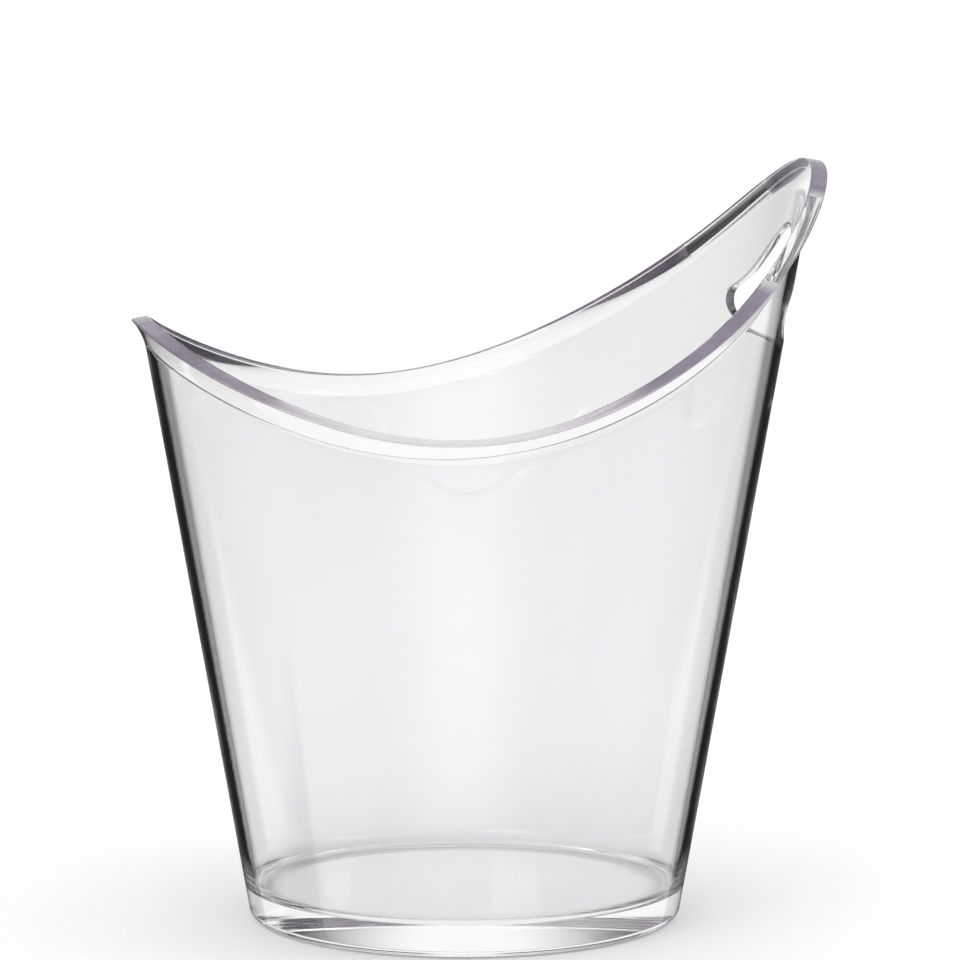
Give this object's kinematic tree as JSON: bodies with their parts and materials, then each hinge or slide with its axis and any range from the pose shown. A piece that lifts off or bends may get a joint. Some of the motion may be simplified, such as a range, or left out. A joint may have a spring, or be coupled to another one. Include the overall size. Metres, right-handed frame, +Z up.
{
  "type": "champagne bucket",
  "caption": "Clear plastic champagne bucket: tapered round wall on a thick solid base, swooping lipped rim and a raised grip with a finger slot",
  "frame": {"origin": "middle of the flat underside", "axes": "+Z up; +X towards the raised grip and its finger slot, -X towards the low tip; the XZ plane is the plane of symmetry"},
  "size_m": [0.2689, 0.2462, 0.2942],
  "materials": {
    "clear_plastic": "clear polished"
  },
  "bodies": {
    "root": {"bucket": "clear_plastic"}
  },
  "joints": []
}
